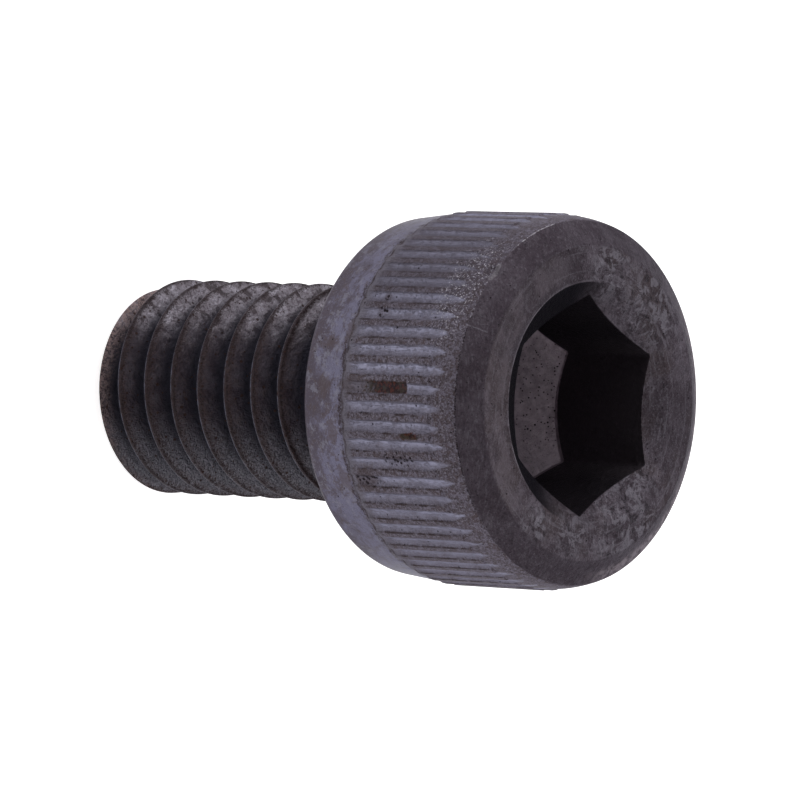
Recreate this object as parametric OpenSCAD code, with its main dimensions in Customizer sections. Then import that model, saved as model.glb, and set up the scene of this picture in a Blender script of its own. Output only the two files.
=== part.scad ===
// Socket head cap screw, 6 mm thread by 10 mm long, threaded to the head, with a knurled head.
// The axis is Z. The origin is the centre of the bearing face under the head, the head is above
// it, and the screw stands on its chamfered tip.

/* [Head] */
// Height of the head, from the bearing face to the top face
head_h = 6; // [5:0.1:8]
// Diameter of the plain head, above and below the knurl
head_d = 10; // [9.8:0.1:10.6]
// Diameter of the flat top face, inside the top bevel
top_face_d = 8.4; // [7.8:0.1:9]
// Diameter of the sharp edge outside the top bevel
top_edge_d = 9.74; // [9.2:0.02:9.78]
// Height of the top bevel
top_bevel_h = 0.42; // [0.2:0.02:0.8]
// Height of the rounded shoulder below the sharp edge
shoulder_h = 0.8; // [0.4:0.05:1.2]
// Diameter of the flat bearing face
bearing_d = 9.1; // [8.4:0.1:9.3]
// Radius of the rounding at the rim of the bearing face
bearing_round = 0.3; // [0.1:0.05:0.4]
// Height of the lower taper, from the bearing face to the knurl
taper_h = 1.65; // [1:0.05:2.5]

/* [Knurl] */
// Number of grooves round the head
groove_count = 62; // [30:1:72]
// Turn of the first groove about the axis, in degrees
knurl_turn = 2.1; // [0:0.1:5.8]
// Width of one groove at the surface of the knurl
groove_w = 0.34; // [0.2:0.01:0.38]
// Depth of one groove
groove_depth = 0.06; // [0.04:0.01:0.1]
// Length of the pointed end of a groove
groove_point = 0.4; // [0.2:0.05:0.6]
// Rise of the knurl above the plain head
knurl_rise = 0.04; // [0.02:0.01:0.06]
// Plain length between the ends of the grooves and the sharp top edge
land_h = 0.42; // [0.3:0.02:1]

/* [Socket] */
// Width of the hexagon across its flats
socket_w = 5.14; // [5:0.01:5.3]
// Depth of the socket at the corners of the hexagon
socket_depth = 3.15; // [2.8:0.05:3.6]
// Diameter of the countersink at the mouth
mouth_d = 6.48; // [6.2:0.02:7]
// Angle of the countersink, from side to side
mouth_angle = 120; // [100:5:130]
// Angle of the conical floor, from side to side
floor_angle = 100; // [90:5:140]
// Diameter of the small flat in the middle of the floor
floor_flat_d = 2.4; // [1:0.1:3]

/* [Thread] */
// Outside diameter of the thread
thread_d = 5.94; // [5.8:0.02:6]
// Diameter at the root of the thread
root_d = 4.77; // [4.6:0.01:4.9]
// Distance from one turn to the next
pitch = 1; // [0.75:0.25:1.25]
// Length under the head
shank_l = 10; // [8:1:30]
// Turn of the thread's start about the axis, in degrees
thread_turn = 140; // [0:10:350]
// Length over which the last turn fades into the neck
runout_l = 0.9; // [0.4:0.1:1.5]
// Diameter of the flat tip
tip_d = 4.6; // [4:0.1:4.7]
// Angle between the tip's chamfer and the axis
tip_angle = 45; // [30:5:60]

/* [Neck] */
// Diameter of the plain neck under the head
neck_d = 5.2; // [5:0.05:5.4]
// Length of the plain neck
neck_l = 1.3; // [1:0.1:2]
// Radius of the fillet between the neck and the bearing face
neck_fillet = 0.4; // [0.2:0.05:0.6]

/* [Hidden] */

smooth = 96;      // sides of round shapes
margin = 0.5;     // length by which a cutter stands out of what it cuts
seat = 0.06;      // step where the threaded rod enters the neck
rod_entry = 0.3;  // length of rod inside the neck
round_entry = 0.005;  // depth at which the lower taper enters the rounding of the bearing rim

head_r = head_d / 2;
knurl_r = head_r + knurl_rise;
top_face_r = top_face_d / 2;
top_edge_r = top_edge_d / 2;
bearing_r = bearing_d / 2;
neck_r = neck_d / 2;
edge_z = head_h - top_bevel_h;
shoulder_z = edge_z - shoulder_h;
groove_top_z = edge_z - land_h;

// The shoulder is an arc that leaves the side of the head smoothly and ends at the sharp edge.
shoulder_drop = head_r - top_edge_r;
shoulder_round = (pow(shoulder_h, 2) + pow(shoulder_drop, 2)) / (2 * shoulder_drop);
bevel_slope = top_bevel_h / (top_edge_r - top_face_r);

// The round cutter of a groove has the radius at which its width and depth come out as stated.
groove_r = (pow(groove_w / 2, 2) + pow(groove_depth, 2)) / (2 * groove_depth);
groove_axis_r = knurl_r + groove_r - groove_depth;
groove_end_r = groove_r - groove_depth;

mouth_r = mouth_d / 2;
corner_r = socket_w / 2 / cos(30);
corner_z = head_h - socket_depth;
floor_flat_r = floor_flat_d / 2;
floor_slope = 1 / tan(floor_angle / 2);
floor_z = corner_z - (corner_r - floor_flat_r) * floor_slope;

// Levels of one turn of the thread, from the lower edge of its crest upwards: each has a height
// and a share of the full thread depth.
crest_flat = pitch / 8;
root_flat = pitch / 4;
flank_h = (pitch - crest_flat - root_flat) / 2;
turn_levels = [
    [0, 1],
    [crest_flat, 1],
    [crest_flat + flank_h / 2, 0.5],
    [crest_flat + flank_h, 0.04],
    [crest_flat + flank_h + root_flat / 2, 0],
    [crest_flat + flank_h + root_flat, 0.04],
    [pitch - flank_h / 2, 0.5]
];
thread_r = thread_d / 2;
root_r = root_d / 2;
tip_r = tip_d / 2;
tip_z = -shank_l;
rod_r = neck_r - seat;
rod_top_z = rod_entry - neck_l;
turns = ceil(shank_l / pitch) + 3;

// A longer or finer thread has fewer steps in a turn, so its skin keeps a like number of faces.
turn_steps = min(60, 6 * floor(120 * pitch / shank_l));

function level_z(k) = floor(k / len(turn_levels)) * pitch + turn_levels[k % len(turn_levels)][0];
function helix_z(step, k) = tip_z - 2 * pitch + pitch * step / turn_steps + level_z(k);
function between(low, value, high) = max(low, min(value, high));

// Share of the full thread left at a height: 1 along the thread, 0 at the neck.
function thread_share(z) = between(0, (-neck_l - z) / runout_l, 1);
function chamfer_r(z) = tip_r + (z - tip_z) * tan(tip_angle);

// Share of the thread depth at a height within one turn, counted from the lower edge of the crest.
function depth_at(h, k = 0) =
    let (last = k + 1 == len(turn_levels))
    let (low = turn_levels[k])
    let (high = last ? [pitch, 1] : turn_levels[k + 1])
    h <= high[0] || last ? low[1] + (high[1] - low[1]) * (h - low[0]) / (high[0] - low[0])
        : depth_at(h, k + 1);

// Radius of the rod at a height on one of its upright lines.
function rod_radius(step, z) =
    let (start = helix_z(step, 0))
    let (h = (z - start) - floor((z - start) / pitch) * pitch)
    let (full = root_r + (thread_r - root_r) * depth_at(h))
    min(rod_r + thread_share(z) * (full - rod_r), chamfer_r(z));

module head_section() {
    fillet_r = neck_r + neck_fillet;
    taper_run = [head_r - bearing_r, taper_h - bearing_round];
    tangent_angle = atan2(taper_run[1], taper_run[0]) - acos(bearing_round / norm(taper_run));
    taper_start = [bearing_r, bearing_round]
        + (bearing_round - round_entry) * [cos(tangent_angle), sin(tangent_angle)];
    difference() {
        union() {
            polygon([
                [0, -neck_l],
                [neck_r, -neck_l],
                [neck_r, -neck_fillet],
                [fillet_r, -neck_fillet],
                [fillet_r, 0],
                [bearing_r, 0],
                [bearing_r, bearing_round],
                taper_start,
                [head_r, taper_h],
                [knurl_r, taper_h + knurl_rise],
                [knurl_r, shoulder_z - knurl_rise],
                [head_r, shoulder_z],
                [head_r, edge_z - shoulder_drop * bevel_slope],
                [top_face_r, head_h],
                [0, head_h]
            ]);
            translate([bearing_r, bearing_round])
                circle(r = bearing_round, $fn = smooth);
        }
        translate([fillet_r, -neck_fillet])
            circle(r = neck_fillet, $fn = smooth);
        difference() {
            translate([top_face_r, shoulder_z])
                square([head_r - top_face_r + margin, head_h - shoulder_z]);
            translate([head_r - shoulder_round, shoulder_z])
                circle(r = shoulder_round, $fn = 2 * smooth);
        }
    }
}

module head_blank() {
    rotate_extrude($fn = smooth)
        head_section();
}

// One groove of the knurl: round in section, open at the bottom and pointed at the top.
module groove() {
    straight_h = groove_top_z - groove_point - taper_h + margin;
    translate([groove_axis_r, 0, taper_h - margin]) {
        cylinder(r = groove_r, h = straight_h, $fn = 24);
        translate([0, 0, straight_h])
            cylinder(r1 = groove_r, r2 = groove_end_r, h = groove_point, $fn = 24);
    }
}

module knurl() {
    for (n = [0 : groove_count - 1])
        rotate([0, 0, knurl_turn + 360 * n / groove_count])
            groove();
}

// The hexagon ends on a conical floor.
module hexagon() {
    cone_r = corner_r + margin;
    intersection() {
        translate([0, 0, floor_z])
            cylinder(r = corner_r, h = head_h + margin - floor_z, $fn = 6);
        rotate_extrude($fn = smooth)
            polygon([
                [0, floor_z],
                [floor_flat_r, floor_z],
                [cone_r, floor_z + (cone_r - floor_flat_r) * floor_slope],
                [cone_r, head_h + 2 * margin],
                [0, head_h + 2 * margin]
            ]);
    }
}

module countersink() {
    mouth_slope = 1 / tan(mouth_angle / 2);
    translate([0, 0, head_h - mouth_r * mouth_slope])
        cylinder(r1 = 0, r2 = mouth_r + margin, h = (mouth_r + margin) * mouth_slope, $fn = smooth);
}

module head() {
    difference() {
        head_blank();
        knurl();
        hexagon();
        countersink();
    }
}

// The threaded rod is one closed skin. Its upright lines stand round the axis, and its levels
// follow the helix, so the crests and roots are true edges. Levels past an end lie on that end.
module threaded_rod() {
    level_count = turns * len(turn_levels);
    turn_shift = len(turn_levels);
    heights = [for (step = [0 : turn_steps - 1])
        [for (k = [0 : level_count - 1]) between(tip_z, helix_z(step, k), rod_top_z)]];
    points = [for (step = [0 : turn_steps - 1]) for (z = heights[step])
        let (r = rod_radius(step, z))
        let (angle = 360 * step / turn_steps)
        [r * cos(angle), r * sin(angle), z]];
    side_faces = [for (step = [0 : turn_steps - 1]) for (k = [0 : level_count - turn_shift - 2])
        let (wraps = step == turn_steps - 1)
        let (next = wraps ? 0 : step + 1)
        let (next_k = wraps ? k + turn_shift : k)
        let (a = step * level_count + k)
        let (b = next * level_count + next_k)
        let (a_flat = heights[step][k] == heights[step][k + 1])
        let (b_flat = heights[next][next_k] == heights[next][next_k + 1])
        each concat(b_flat ? [] : [[a, b + 1, b]], a_flat ? [] : [[a, a + 1, b + 1]])];
    tip_face = [for (step = [0 : turn_steps - 1]) step * level_count];
    top_face = [for (step = [turn_steps - 1 : -1 : 0]) (step + 1) * level_count - 1];
    rotate([0, 0, thread_turn])
        polyhedron(points, concat(side_faces, [tip_face, top_face]), convexity = 10);
}

module screw() {
    color([0.23, 0.22, 0.24]) {
        head();
        threaded_rod();
    }
}

screw();
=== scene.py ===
import math
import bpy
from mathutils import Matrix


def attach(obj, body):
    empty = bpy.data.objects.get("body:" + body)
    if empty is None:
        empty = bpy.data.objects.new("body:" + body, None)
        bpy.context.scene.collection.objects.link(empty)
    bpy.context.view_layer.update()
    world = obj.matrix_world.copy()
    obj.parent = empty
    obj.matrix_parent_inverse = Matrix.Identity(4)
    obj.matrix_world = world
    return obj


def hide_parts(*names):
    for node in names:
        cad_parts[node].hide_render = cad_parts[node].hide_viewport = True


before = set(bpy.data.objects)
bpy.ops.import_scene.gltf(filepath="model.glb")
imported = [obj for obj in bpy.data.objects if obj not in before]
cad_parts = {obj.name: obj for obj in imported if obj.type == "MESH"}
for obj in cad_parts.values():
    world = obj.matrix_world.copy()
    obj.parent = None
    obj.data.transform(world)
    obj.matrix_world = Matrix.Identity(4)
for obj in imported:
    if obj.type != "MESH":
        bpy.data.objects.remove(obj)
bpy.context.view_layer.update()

from types import SimpleNamespace

import bmesh
import bpy
from mathutils import Vector

# A socket head cap screw in two pieces: the knurled head with its neck, and the threaded shank.
# Lengths are in mm and angles in degrees, unless a line says otherwise. The origin is the centre
# of the bearing face, and +Z runs towards the top of the head.
MM = 0.001

# the head, the same as in the source
HEAD_HEIGHT = 6.0
HEAD_RADIUS = 5.0
TOP_FACE_RADIUS = 4.2
TOP_EDGE_RADIUS = 4.87
TOP_EDGE_HEIGHT = 5.58
SHOULDER_HEIGHT = 4.78
BEARING_RADIUS = 4.55
RIM_ROUNDING = 0.3
TAPER_TOP = 1.65
NECK_RADIUS = 2.6
NECK_LENGTH = 1.3
NECK_FILLET = 0.4

# the knurl
GROOVES = 62
KNURL_TURN = 2.1
KNURL_RISE = 0.04
KNURL_RADIUS = HEAD_RADIUS + KNURL_RISE
GROOVE_HALF_WIDTH = 0.17
GROOVE_DEPTH = 0.06
GROOVE_TOP = 5.16
GROOVE_POINT = 0.4

# the socket, with the rise of its two cones for each mm of radius
SOCKET_WIDTH = 5.14
SOCKET_CORNER_RADIUS = SOCKET_WIDTH / 2 / math.cos(math.radians(30))
SOCKET_CORNER_DEPTH = 3.15
SOCKET_CORNER_ROUNDING = 0.06
SOCKET_CORNER_SEGMENTS = 4
SOCKET_SHIFT = 0.07
MOUTH_RADIUS = 3.24
MOUTH_SLOPE = 1 / math.tan(math.radians(60))
FLOOR_FLAT_RADIUS = 1.2
FLOOR_SLOPE = 1 / math.tan(math.radians(50))
DRILL_POINT = HEAD_HEIGHT - SOCKET_CORNER_DEPTH - SOCKET_CORNER_RADIUS * FLOOR_SLOPE
FLOOR_HEIGHT = DRILL_POINT + FLOOR_FLAT_RADIUS * FLOOR_SLOPE

# the chip in the top edge: how deep it is, how many shells it is pressed in, and which way
CHIP_CENTRE = (-3.25, -3.60, 5.57)
CHIP_RADIUS = 0.22
CHIP_DEPTH = 0.07
CHIP_SHELLS = 5
CHIP_PUSH = (0.6, 0.6, -0.5)

# the threaded shank
THREAD_RADIUS = 2.97
ROOT_RADIUS = 2.385
PITCH = 1.0
SHANK_LENGTH = 10.0
THREAD_TURN = 140.0
RUNOUT_LENGTH = 0.9
TIP_RADIUS = 2.3
ROD_RADIUS = 2.54
ROD_LENGTH = 30.0
TURNS_WOUND = 12

# faces round the axis and along the outline of the head
COLUMNS_PER_GROOVE = 12
HEAD_COLUMNS = GROOVES * COLUMNS_PER_GROOVE
SOCKET_COLUMNS = 240
SHANK_COLUMNS = 144
ARC_STEPS = 10
TAPER_ROWS = 6
KNURL_ROW_HEIGHT = 0.22
KNURL_ROWS_END = 4.46
SHOULDER_ROWS = 25
SHOULDER_ROWS_START = 4.62
SHOULDER_ROWS_END = 5.55
BEVEL_ROW_RADII = (4.7, 4.5, 4.3)

# Softened corners, each as steps outwards and upwards from the true corner.
KNURL_FOOT = ((-0.004, -0.03), (0.01, 0.01), (0.034, 0.035), (0.04, 0.06))
TOP_EDGE = ((-0.006, -0.008), (-0.025, 0.008))
FACE_EDGE = ((0.03, -0.014), (-0.02, -0.002), (-0.08, 0.0))
FLOOR_EDGE = ((-0.05, 0.0), (0.0, 0.01), (0.06, 0.055))
MOUTH_EDGE = ((-0.03, -0.03 * MOUTH_SLOPE), (0.004, -0.002), (0.05, 0.012))
TIP_EDGE = ((-0.04, 0.0), (0.01, 0.02))

# One turn of the thread: drop below the crest and rise above the root, each with the share of its
# width, and shares of the way down a flank.
CREST_POINTS = ((0.02, 0.0), (0.004, 0.22), (0.0, 0.5), (0.004, 0.78), (0.02, 1.0))
ROOT_POINTS = ((0.012, 0.18), (0.0, 0.4), (0.0, 0.6), (0.012, 0.82))
FLANK_SHARES = (0.33, 0.66, 0.96)
FLANK_EASE = 0.06

# heights between which the grooves are pressed in, and the least depth worth pressing
PRESSED_FROM = 1.35
PRESSED_TO = 5.21
LEAST_PRESS = 1e-4

# Open ends of the winding: whether it is the upper one, how far it is drawn out, and the height
# at which it closes on the axis.
OPEN_ENDS = ((False, -2, -14), (True, 2, 3))

# the plane that becomes a line's first vertex, and distances at which vertices join
SEED_SIZE = 0.1
JOIN_DISTANCE = 0.001
POINT_JOIN_DISTANCE = 0.0001

# how far the cutters stand out of what they cut
CUTTER_MARGIN = 0.5
COUNTERSINK_MARGIN = 0.4
ENVELOPE_MARGIN = 0.3


# ---- modelling helpers ----

def deselect_everything():
    if bpy.context.object and bpy.context.object.mode != "OBJECT":
        bpy.ops.object.mode_set(mode="OBJECT")
    bpy.ops.object.select_all(action="DESELECT")


def make_active(piece):
    deselect_everything()
    piece.select_set(True)
    bpy.context.view_layer.objects.active = piece


def edit(piece, mode="VERT"):
    make_active(piece)
    bpy.ops.object.mode_set(mode="EDIT")
    bpy.ops.mesh.select_mode(type=mode)
    return bmesh.from_edit_mesh(piece.data)


def leave_edit():
    bpy.ops.object.mode_set(mode="OBJECT")


def select_whole_mesh():
    bpy.ops.mesh.select_all(action="SELECT")


def face_outwards():
    select_whole_mesh()
    bpy.ops.mesh.normals_make_consistent(inside=False)


def choose(mesh, vertices):
    for vertex in mesh.verts:
        vertex.select = False
    for vertex in vertices:
        vertex.select = True
    mesh.select_flush_mode()


def scale_round_axis(share, height):
    """Resizes what is selected about the axis, at a height."""
    bpy.ops.transform.resize(value=(share, share, 1), center_override=(0, 0, height * MM))


def polar(vertex):
    return math.hypot(vertex.co.x, vertex.co.y), math.atan2(vertex.co.y, vertex.co.x)


def settle(piece, name):
    piece.name = name
    piece.data.name = name
    make_active(piece)
    bpy.ops.object.transform_apply(location=True, rotation=True, scale=True)
    return piece


def apply_modifier(piece, modifier):
    make_active(piece)
    bpy.ops.object.modifier_apply(modifier=modifier.name)


def turned_blank(name, profile, columns, turn=0.0):
    """A closed round blank: a circle extruded ring by ring along a profile of (radius, height)."""
    deselect_everything()
    radius, height = profile[0]
    bpy.ops.mesh.primitive_circle_add(
        vertices=columns, radius=radius * MM, fill_type="NGON",
        location=(0, 0, height * MM), rotation=(0, 0, math.radians(turn)))
    piece = settle(bpy.context.object, name)
    edit(piece, "FACE")
    select_whole_mesh()
    for next_radius, next_height in profile[1:]:
        bpy.ops.mesh.extrude_region_move(
            TRANSFORM_OT_translate={"value": (0, 0, (next_height - height) * MM)})
        scale_round_axis(next_radius / radius, next_height)
        radius, height = next_radius, next_height
    face_outwards()
    leave_edit()
    return piece


def cut_with(piece, cutter, operation):
    modifier = piece.modifiers.new("cut", "BOOLEAN")
    modifier.operation = operation
    modifier.solver = "EXACT"
    modifier.object = cutter
    apply_modifier(piece, modifier)
    bpy.data.objects.remove(cutter, do_unlink=True)


def softened(radius, height, steps):
    return [(radius + outwards, height + upwards) for outwards, upwards in steps]


def arc(centre, radius, start, end):
    angles = [math.radians(start + (end - start) * n / ARC_STEPS) for n in range(ARC_STEPS + 1)]
    return [(centre[0] + radius * math.cos(angle), centre[1] + radius * math.sin(angle))
            for angle in angles]


# ---- the head ----

def lower_outline():
    """From the neck to the knurl: fillet, bearing face, rounded rim and lower taper."""
    run = (HEAD_RADIUS - BEARING_RADIUS, TAPER_TOP - RIM_ROUNDING)
    tangent = math.degrees(
        math.atan2(run[1], run[0]) - math.acos(RIM_ROUNDING / math.hypot(*run)))
    points = [(NECK_RADIUS, -NECK_LENGTH)]
    points += arc((NECK_RADIUS + NECK_FILLET, -NECK_FILLET), NECK_FILLET, 180, 90)
    points += [(BEARING_RADIUS - RIM_ROUNDING, 0.0)]
    points += arc((BEARING_RADIUS, RIM_ROUNDING), RIM_ROUNDING, -90, tangent)
    radius, height = points[-1]
    shares = [n / TAPER_ROWS for n in range(1, TAPER_ROWS)]
    return points + [
        (radius + (HEAD_RADIUS - radius) * share, height + (TAPER_TOP - height) * share)
        for share in shares]


def knurl_outline():
    """Up the knurl in rows, to where the grooves begin to come to a point."""
    points = softened(HEAD_RADIUS, TAPER_TOP, KNURL_FOOT)
    height = points[-1][1]
    while height < KNURL_ROWS_END:
        height += KNURL_ROW_HEIGHT
        points.append((KNURL_RADIUS, height))
    return points


def shoulder_radius(height):
    """The knurl's step down to the plain head, and above it the arc that ends at the top edge."""
    if height < SHOULDER_HEIGHT:
        return KNURL_RADIUS - max(0.0, height - (SHOULDER_HEIGHT - KNURL_RISE))
    drop = HEAD_RADIUS - TOP_EDGE_RADIUS
    reach = TOP_EDGE_HEIGHT - SHOULDER_HEIGHT
    bend = (reach ** 2 + drop ** 2) / (2 * drop)
    return HEAD_RADIUS - bend + math.sqrt(bend ** 2 - (height - SHOULDER_HEIGHT) ** 2)


def shoulder_outline():
    low, high = SHOULDER_ROWS_START, SHOULDER_ROWS_END
    heights = [low + (high - low) * n / SHOULDER_ROWS for n in range(SHOULDER_ROWS + 1)]
    return [(shoulder_radius(height), height) for height in heights]


def bevel_outline():
    slope = (HEAD_HEIGHT - TOP_EDGE_HEIGHT) / (TOP_EDGE_RADIUS - TOP_FACE_RADIUS)
    points = softened(TOP_EDGE_RADIUS, TOP_EDGE_HEIGHT, TOP_EDGE)
    points += [(radius, TOP_EDGE_HEIGHT + (TOP_EDGE_RADIUS - radius) * slope)
               for radius in BEVEL_ROW_RADII]
    return points + softened(TOP_FACE_RADIUS, HEAD_HEIGHT, FACE_EDGE)


def groove_cut(offset, height):
    """How deep a groove is, at an arc distance from its middle and at a height."""
    bottom_radius = (GROOVE_HALF_WIDTH ** 2 + GROOVE_DEPTH ** 2) / (2 * GROOVE_DEPTH)
    into_point = max(0.0, (height - (GROOVE_TOP - GROOVE_POINT)) / GROOVE_POINT)
    bottom = math.sqrt(bottom_radius ** 2 - offset ** 2) - (bottom_radius - GROOVE_DEPTH)
    return max(0.0, bottom - GROOVE_DEPTH * into_point)


def press_knurl(piece):
    """Presses the grooves in, all vertices of a like height and place in a groove together."""
    mesh = edit(piece)
    rings = {}
    step = 2 * math.pi / HEAD_COLUMNS
    for vertex in mesh.verts:
        radius, angle = polar(vertex)
        height = vertex.co.z / MM
        if radius > BEARING_RADIUS * MM and PRESSED_FROM < height < PRESSED_TO:
            column = round((angle - math.radians(KNURL_TURN)) / step) % COLUMNS_PER_GROOVE
            column = min(column, COLUMNS_PER_GROOVE - column)
            rings.setdefault((round(height, 4), column), []).append(vertex)
    for (height, column), vertices in sorted(rings.items()):
        radius = polar(vertices[0])[0] / MM
        groove_radius = KNURL_RADIUS - groove_cut(column * step * KNURL_RADIUS, height)
        if groove_radius < radius - LEAST_PRESS:
            choose(mesh, vertices)
            scale_round_axis(groove_radius / radius, height)
    leave_edit()


def socket_cutter():
    """A hexagon with slightly rounded corners that ends on the cone left by a drill."""
    low, high = FLOOR_HEIGHT - CUTTER_MARGIN, HEAD_HEIGHT + 2 * CUTTER_MARGIN
    deselect_everything()
    bpy.ops.mesh.primitive_cylinder_add(
        vertices=6, radius=SOCKET_CORNER_RADIUS * MM, depth=(high - low) * MM,
        location=(0, 0, (high + low) / 2 * MM), rotation=(0, 0, math.radians(90)))
    hexagon = settle(bpy.context.object, "hexagon")
    mesh = edit(hexagon, "EDGE")
    for edge in mesh.edges:
        upright = abs(edge.verts[0].co.z - edge.verts[1].co.z) > MM
        edge.select_set(upright)
    bpy.ops.mesh.bevel(offset=SOCKET_CORNER_ROUNDING * MM, segments=SOCKET_CORNER_SEGMENTS,
                       affect="EDGES")
    leave_edit()
    wide = SOCKET_CORNER_RADIUS + CUTTER_MARGIN
    drill = turned_blank("drill", softened(FLOOR_FLAT_RADIUS, FLOOR_HEIGHT, FLOOR_EDGE) + [
        (wide, FLOOR_HEIGHT + (wide - FLOOR_FLAT_RADIUS) * FLOOR_SLOPE),
        (wide, high + CUTTER_MARGIN)], SOCKET_COLUMNS)
    cut_with(hexagon, drill, "INTERSECT")
    make_active(hexagon)
    bpy.ops.transform.translate(value=(SOCKET_SHIFT * MM, 0, 0))
    return settle(hexagon, "hexagon")


def countersink_cutter():
    margin = COUNTERSINK_MARGIN
    bottom = [(margin, HEAD_HEIGHT - (MOUTH_RADIUS - margin) * MOUTH_SLOPE)]
    top = [(MOUTH_RADIUS + margin, HEAD_HEIGHT + margin)]
    mouth = softened(MOUTH_RADIUS, HEAD_HEIGHT, MOUTH_EDGE)
    return turned_blank("countersink", bottom + mouth + top, SOCKET_COLUMNS)


def chip_edge(piece):
    """A shallow chip in the sharp top edge, pressed in shell by shell."""
    centre = Vector(CHIP_CENTRE) * MM
    mesh = edit(piece)
    shells = {}
    for vertex in mesh.verts:
        share = (vertex.co - centre).length / (CHIP_RADIUS * MM)
        if share < 1.0:
            shells.setdefault(int(share * CHIP_SHELLS), []).append(vertex)
    for shell, vertices in sorted(shells.items()):
        depth = CHIP_DEPTH * (1 - (shell / CHIP_SHELLS) ** 2) * MM
        choose(mesh, vertices)
        bpy.ops.transform.translate(value=[depth * push for push in CHIP_PUSH])
    leave_edit()


def model_head():
    outline = lower_outline() + knurl_outline() + shoulder_outline() + bevel_outline()
    head = turned_blank("head", outline, HEAD_COLUMNS, KNURL_TURN)
    press_knurl(head)
    chip_edge(head)
    cut_with(head, socket_cutter(), "DIFFERENCE")
    cut_with(head, countersink_cutter(), "DIFFERENCE")
    return head


# ---- the threaded shank ----

def thread_outline():
    """One pitch of the thread, from the lower edge of a crest upwards."""
    crest, root = PITCH / 8, PITCH / 4
    flank = (PITCH - crest - root) / 2
    flank_start = THREAD_RADIUS - CREST_POINTS[0][0]
    flank_depth = THREAD_RADIUS - ROOT_RADIUS - FLANK_EASE
    flank_points = [(flank_start - flank_depth * share, flank * share) for share in FLANK_SHARES]
    points = [(THREAD_RADIUS - drop, crest * share) for drop, share in CREST_POINTS]
    points += [(radius, crest + along) for radius, along in flank_points]
    points += [(ROOT_RADIUS + rise, crest + flank + root * share) for rise, share in ROOT_POINTS]
    points += [(radius, PITCH - along) for radius, along in reversed(flank_points)]
    return points + [(flank_start, PITCH)]


def drawn_line(name, points, lift):
    """A chain of edges through the points, grown from one vertex and lifted by a height."""
    deselect_everything()
    bpy.ops.mesh.primitive_plane_add(size=SEED_SIZE * MM, location=(0, 0, 0))
    piece = settle(bpy.context.object, name)
    edit(piece)
    select_whole_mesh()
    bpy.ops.mesh.merge(type="CENTER")
    select_whole_mesh()
    last_radius = last_height = 0.0
    for n, (radius, height) in enumerate(points):
        move = {"value": ((radius - last_radius) * MM, 0, (height - last_height) * MM)}
        if n == 0:
            bpy.ops.transform.translate(**move)
        else:
            bpy.ops.mesh.extrude_vertices_move(TRANSFORM_OT_translate=move)
        last_radius, last_height = radius, height
    select_whole_mesh()
    bpy.ops.transform.translate(value=(0, 0, lift * MM))
    leave_edit()
    return piece


def wind(piece):
    """Sweeps one pitch of the thread round the axis as a right-hand helix."""
    winding = piece.modifiers.new("winding", "SCREW")
    winding.axis = "Z"
    winding.angle = math.radians(360)
    winding.screw_offset = PITCH * MM
    winding.iterations = TURNS_WOUND
    winding.steps = SHANK_COLUMNS
    winding.render_steps = SHANK_COLUMNS
    apply_modifier(piece, winding)
    edit(piece)
    select_whole_mesh()
    bpy.ops.mesh.remove_doubles(threshold=JOIN_DISTANCE * MM)
    leave_edit()
    make_active(piece)
    bpy.ops.transform.rotate(
        value=-math.radians(THREAD_TURN), orient_axis="Z", center_override=(0, 0, 0))
    settle(piece, piece.name)


def fade_runout(shank):
    """The last turn under the head fades into the neck's size."""
    deselect_everything()
    bpy.ops.mesh.primitive_cylinder_add(
        vertices=SHANK_COLUMNS, radius=ROD_RADIUS * MM, depth=ROD_LENGTH * MM,
        location=(0, 0, -SHANK_LENGTH / 2 * MM))
    rod = bpy.context.object
    shares = shank.vertex_groups.new(name="fade")
    for vertex in shank.data.vertices:
        thread_left = (-NECK_LENGTH - vertex.co.z / MM) / RUNOUT_LENGTH
        thread_left = min(1.0, max(0.0, thread_left))
        if thread_left < 1.0:
            shares.add([vertex.index], 1.0 - thread_left, "REPLACE")
    fade = shank.modifiers.new("fade", "SHRINKWRAP")
    fade.target = rod
    fade.wrap_method = "NEAREST_SURFACEPOINT"
    fade.vertex_group = "fade"
    apply_modifier(shank, fade)
    shank.vertex_groups.clear()
    bpy.data.objects.remove(rod, do_unlink=True)


def close_ends(shank):
    """Draws each open end of the winding to a point on the axis, outside the length kept."""
    for upper_end, reach, point_height in OPEN_ENDS:
        mesh = edit(shank, "EDGE")
        bpy.ops.mesh.select_all(action="DESELECT")
        for edge in mesh.edges:
            above_middle = edge.verts[0].co.z > -SHANK_LENGTH / 2 * MM
            if edge.is_boundary and above_middle == upper_end:
                edge.select_set(True)
        bpy.ops.mesh.extrude_edges_move(TRANSFORM_OT_translate={"value": (0, 0, reach * MM)})
        bpy.ops.transform.resize(value=(0, 0, 0), center_override=(0, 0, point_height * MM))
        bpy.ops.mesh.remove_doubles(threshold=POINT_JOIN_DISTANCE * MM)
        leave_edit()
    edit(shank)
    face_outwards()
    leave_edit()


def shank_envelope():
    """What is kept of the winding: from the chamfered tip up into the neck."""
    wide = THREAD_RADIUS + ENVELOPE_MARGIN
    return turned_blank("envelope", softened(TIP_RADIUS, -SHANK_LENGTH, TIP_EDGE) + [
        (wide, -SHANK_LENGTH + wide - TIP_RADIUS),
        (wide, -NECK_LENGTH + ENVELOPE_MARGIN)], SHANK_COLUMNS)


def model_shank():
    shank = drawn_line("threaded_shank", thread_outline(), -SHANK_LENGTH - 2 * PITCH)
    wind(shank)
    fade_runout(shank)
    close_ends(shank)
    cut_with(shank, shank_envelope(), "INTERSECT")
    return shank


# ---- finishes ----

# added to a count of grooves or turns, to keep it above zero and put each whole one half way
COUNT_SHIFT = 100.5

# share of the light that the oxide sends back at a flat slant, in red, green, blue and opacity
GRAZING_TINT = (0.53, 0.52, 0.56, 1.0)

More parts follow.
